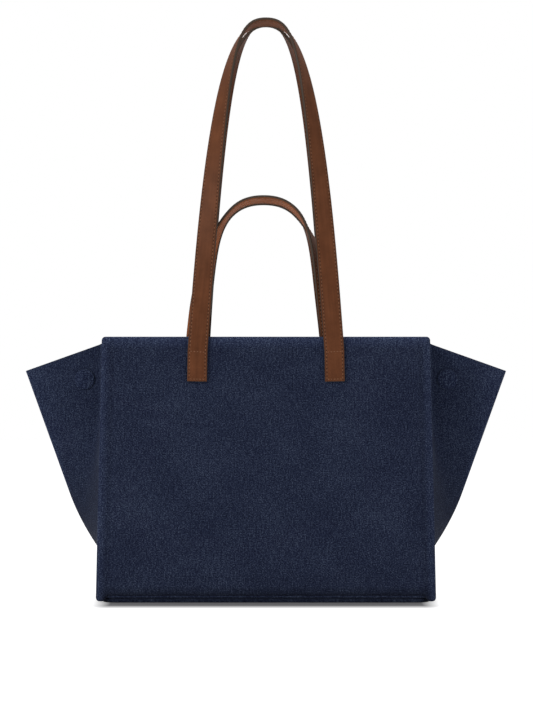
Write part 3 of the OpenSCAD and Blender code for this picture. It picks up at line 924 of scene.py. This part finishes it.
def band_half(foot, tilt, end_tilt, lead, crown, top, y_foot, y_top, held, turn_end, turned):
    """Half a band, from its sewn end to its crown: (place, across, face) of each step.
    It lies flat for a height held above its foot, and turns over a share turn_end of it."""
    lean = math.tan(PANEL_LEAN)
    steps = []
    across, face = band_turn(slanting(end_tilt), lean, 0, turned)
    for i in range(END_STEPS):
        down = (foot.y - TAB_Z) * (1 - i / END_STEPS)
        x = foot.x + down * math.tan(end_tilt)
        steps.append((Vector((x, y_foot - down * lean, foot.y - down)), across, face))
    rise = top - foot.y
    knee = foot + lead * rise * slanting(tilt)
    free = rise - held
    sag = y_top - y_foot - rise * lean
    for i in range(LOOP_STEPS + 1):
        u = (i / LOOP_STEPS) ** STEPS_CROWD
        p, slope = curve_and_slope(foot, knee, Vector((crown, top)), Vector((0, top)), u)
        h = max(0, p.y - foot.y - held) / free
        y = y_foot + (p.y - foot.y) * lean + sag * h * h
        turn = min(1, max(0, (u - FLAT_SHARE) / (turn_end - FLAT_SHARE)))
        twist = math.pi / 2 * math.sin(math.pi / 2 * turn)
        across, face = band_turn(slope, lean + 2 * sag * h / free, twist, turned)
        steps.append((Vector((p.x, y, p.y)), across, face))
    return steps


def whole_band(right, left, y_side, shift):
    """Both halves as one line of steps, moved to the front or back."""
    def placed(step, x_side):
        return tuple(Vector((x_side * w.x + (shift if i == 0 else 0), -y_side * w.y, w.z))
                     for i, w in enumerate(step))
    line = [placed(step, 1) for step in right]
    return line + [placed(step, -1) for step in reversed(left[:-1])]


def leather_band(name, line, inside):
    """The band itself, and its thread as a second piece."""
    lengths = [0.0]
    for (a, _, _), (b, _, _) in zip(line, line[1:]):
        lengths.append(lengths[-1] + (b - a).length)
    last = len(line) - 1

    def point(u, v):
        place, across, _ = line[round(v * last)]
        return place + across * (u - 0.5) * (BAND_WIDTH - EDGE_TRIM)

    band = laid_cloth(name, 8, last, point,
                      lambda u, v: (u * BAND_WIDTH, lengths[round(v * last)]))
    for finish in (leather, edge_paint, inside):
        band.data.materials.append(finish)
    apply_modifier(band, "SOLIDIFY", thickness=BAND_THICK, offset=0.0, material_offset_rim=1,
                   material_offset=2)
    apply_modifier(band, "BEVEL", width=0.0007, segments=3, limit_method="ANGLE",
                   angle_limit=math.radians(50))
    smooth_faces(band, 60)

    bead = new_piece(bpy.ops.mesh.primitive_ico_sphere_add, "bead", subdivisions=1, radius=1)
    shape = [Vector([a * b for a, b in zip(v.co, STITCH_SIZE)]) for v in bead.data.vertices]
    faces = [tuple(p.vertices) for p in bead.data.polygons]
    bpy.data.objects.remove(bead)
    points, polygons = [], []

    def stitch(at, sideways, crosswise=False):
        """One stitch on each face of the band, so far along it and beside its middle."""
        k = max(i for i in range(last) if lengths[i] <= at)
        share = (at - lengths[k]) / (lengths[k + 1] - lengths[k])
        place, across, face = (a.lerp(b, share) for a, b in zip(line[k], line[k + 1]))
        across, face = across.normalized(), face.normalized()
        long, wide = across.cross(face), across
        if crosswise:
            long, wide = wide, long
        for out in (1, -1):
            centre = place + across * sideways + face * out * BAND_THICK / 2
            first = len(points)
            points.extend(centre + long * q.x + wide * q.y + face * q.z for q in shape)
            polygons.extend(tuple(i + first for i in f) for f in faces)

    edge = BAND_WIDTH / 2 - STITCH_INSET
    for i in range(1, int(lengths[-1] / STITCH_PITCH)):
        for sideways in (-edge, edge):
            stitch(i * STITCH_PITCH, sideways)
    for from_end in BOX_ROWS:
        for at in (from_end, lengths[-1] - from_end):
            for column in range(-2, 3):
                stitch(at, column * BOX_PITCH, True)
    mesh = bpy.data.meshes.new(name + "_stitches")
    mesh.from_pydata(points, [], polygons)
    stitches = bpy.data.objects.new(name + "_stitches", mesh)
    bpy.context.collection.objects.link(stitches)
    stitches.data.materials.append(thread)
    in_edit_mode(stitches, face_outwards)
    smooth_faces(stitches, 80)
    return band, stitches


STRAP_HINGE_Z = PANEL_HIGH.z - 0.014
TAB_Z = PANEL_HIGH.z - 0.041
HINGE_GAP = 0.0003
HANDLE_TOP_Z = 0.3688
HANDLE_TILT = math.radians(5.5)
HANDLE_SHIFT = -0.0022
END_STEPS, LOOP_STEPS, STEPS_CROWD = 12, 64, 1.6


def sew_on(name, line, inside, half_name, node):
    """Makes a band with its stitches, and moves their place into their meshes."""
    band, stitches = leather_band(half_name + name, line, inside)
    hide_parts(half_name + node, half_name + node + "_ends")
    for piece in (band, stitches):
        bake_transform(piece)


def long_strap(half_name, y_side, crown, top, tilt):
    foot = Vector((STRAP_SPACING / 2, STRAP_HINGE_Z + HINGE_GAP))
    y_foot = leaning(0, -HINGE_GAP - BAND_THICK / 2, foot.y, -1).y
    half = band_half(foot, math.radians(tilt), end_tilt=math.radians(1), lead=0.93,
                     crown=crown, top=top, y_foot=y_foot, y_top=-0.012,
                     held=PANEL_HIGH.z - foot.y, turn_end=1.0, turned=False)
    sew_on("_long_strap", whole_band(half, half, y_side, 0), strap_underside_painted_light, half_name, "_strap")


def short_handle(half_name, y_side):
    """The left half of a handle is turned the other way."""
    foot = Vector((HANDLE_SPACING / 2, PANEL_HIGH.z + HINGE_GAP))
    depth = PANEL_THICK + FACING_THICK + 2 * LAYER_GAP + BAND_THICK / 2
    y_foot = leaning(0, depth, foot.y, -1).y
    right, left = (
        band_half(foot, HANDLE_TILT, end_tilt=HANDLE_TILT, lead=0.87, crown=0.0295,
                  top=HANDLE_TOP_Z, y_foot=y_foot, y_top=-0.0265, held=0, turn_end=0.62,
                  turned=turned)
        for turned in (False, True))
    sew_on("_short_handle", whole_band(right, left, y_side, HANDLE_SHIFT), handle_underside_painted_light,
           half_name, "_handle")


for half_name, y_side, crown, top, tilt in (
    ("front", -1, 0.029, 0.5336, 4.1), ("back", 1, 0.020, 0.5335, 3.2)
):
    long_strap(half_name, y_side, crown, top, tilt)
    short_handle(half_name, y_side)

# The studio is white all round, with soft light from the upper left and front, and the camera
# straight in front. To it the floor is grey under the bag and white further away: a painted
# shadow, on top of the bag's own shadow.
# Painted shadow: to the camera the floor is dark grey, and glows white only outside this patch
# under and in front of the bag.
SHADOW_PATCH_X, SHADOW_PATCH_Y = 0.141, 0.100
GLOW_REACH = 0.045
GLOW_SLOPE_X = 2.5
FLOOR_LIT, FLOOR_PAINTED_SHADOW = (0.9, 0.9, 0.92), (0.17, 0.168, 0.175)
floor_finish = bpy.data.materials.new("studio_floor")
floor_finish.use_nodes = True
floor_tree = floor_finish.node_tree
floor_tree.nodes.clear()
floor_out = add_node(floor_tree, "ShaderNodeOutputMaterial")
floor_matt = add_node(floor_tree, "ShaderNodeBsdfDiffuse")
floor_white = add_node(floor_tree, "ShaderNodeEmission")
floor_place = add_node(floor_tree, "ShaderNodeTexCoord")
floor_parts = add_node(floor_tree, "ShaderNodeSeparateXYZ")
link(floor_tree, floor_place.outputs["Object"], floor_parts.inputs["Vector"])


def squared_distance(axis, limit, slope):
    """How far a place on the floor lies past a limit on one axis, squared."""
    away = combine(floor_tree, "ABSOLUTE", floor_parts.outputs[axis])
    past = combine(floor_tree, "MULTIPLY", combine(floor_tree, "SUBTRACT", away, limit), slope)
    return combine(floor_tree, "POWER", combine(floor_tree, "MAXIMUM", past, 0), 2)


floor_far = combine(floor_tree, "SQRT", combine(
    floor_tree, "ADD", squared_distance("X", SHADOW_PATCH_X, GLOW_SLOPE_X),
    squared_distance("Y", SHADOW_PATCH_Y, 1)))
floor_glow = spread(floor_tree, floor_far, 0.0, GLOW_REACH)
floor_rays = add_node(floor_tree, "ShaderNodeLightPath")
floor_painted_shadow_tone = blend_colour(floor_tree, floor_rays.outputs["Is Camera Ray"],
                          FLOOR_LIT, FLOOR_PAINTED_SHADOW)
link(floor_tree, floor_painted_shadow_tone, floor_matt.inputs["Color"])
floor_seen = combine(floor_tree, "MULTIPLY", floor_glow, floor_rays.outputs["Is Camera Ray"])
link(floor_tree, floor_seen, floor_white.inputs["Strength"])
floor_sum = add_node(floor_tree, "ShaderNodeAddShader")
link(floor_tree, floor_matt.outputs["BSDF"], floor_sum.inputs[0])
link(floor_tree, floor_white.outputs["Emission"], floor_sum.inputs[1])
link(floor_tree, floor_sum.outputs["Shader"], floor_out.inputs["Surface"])
floor = new_piece(bpy.ops.mesh.primitive_plane_add, "studio_floor", size=12)
floor.data.materials.append(floor_finish)

world = bpy.data.worlds.new("studio")
world.use_nodes = True
bpy.context.scene.world = world
sky = world.node_tree
sky_light = sky.nodes["Background"]
sky_light.inputs["Color"].default_value = (1, 1, 1, 1)
sky_rays = add_node(sky, "ShaderNodeLightPath")
sky_level = add_node(sky, "ShaderNodeMix", data_type="FLOAT")
sky_level.inputs["A"].default_value = 0.5
sky_level.inputs["B"].default_value = 1.0
link(sky, sky_rays.outputs["Is Camera Ray"], sky_level.inputs["Factor"])
link(sky, sky_level.outputs["Result"], sky_light.inputs["Strength"])


def soft_lamp(name, place, aim, size, power):
    bpy.ops.object.light_add(type="AREA", location=place)
    lamp = bpy.context.object
    lamp.name = name
    lamp.data.shape = "DISK"
    lamp.data.size = size
    lamp.data.energy = power
    lamp.rotation_euler = (Vector(aim) - Vector(place)).to_track_quat("-Z", "Y").to_euler()


BAG_MIDDLE = (0, 0, 0.2)
soft_lamp("key_lamp", (-1.9, -1.9, 1.6), BAG_MIDDLE, 1.2, 40)
soft_lamp("fill_lamp", (1.9, -1.8, 0.9), BAG_MIDDLE, 1.6, 8)
soft_lamp("top_lamp", (0.0, 0.3, 2.2), BAG_MIDDLE, 1.4, 26)

CAMERA_DISTANCE = 3.2
CAMERA_X, CAMERA_Z = 0.0005, 0.225
PICTURE_HEIGHT = 0.647
SENSOR_MM = 24
camera_data = bpy.data.cameras.new("camera")
camera = bpy.data.objects.new("camera", camera_data)
bpy.context.collection.objects.link(camera)
camera.location = (CAMERA_X, -BASE_DEPTH / 2 - CAMERA_DISTANCE, CAMERA_Z)
camera.rotation_euler = (math.pi / 2, 0, 0)
camera_data.sensor_fit = "VERTICAL"
camera_data.sensor_height = SENSOR_MM
camera_data.lens = SENSOR_MM * CAMERA_DISTANCE / PICTURE_HEIGHT
bpy.context.scene.camera = camera
bpy.context.scene.view_settings.view_transform = "Standard"
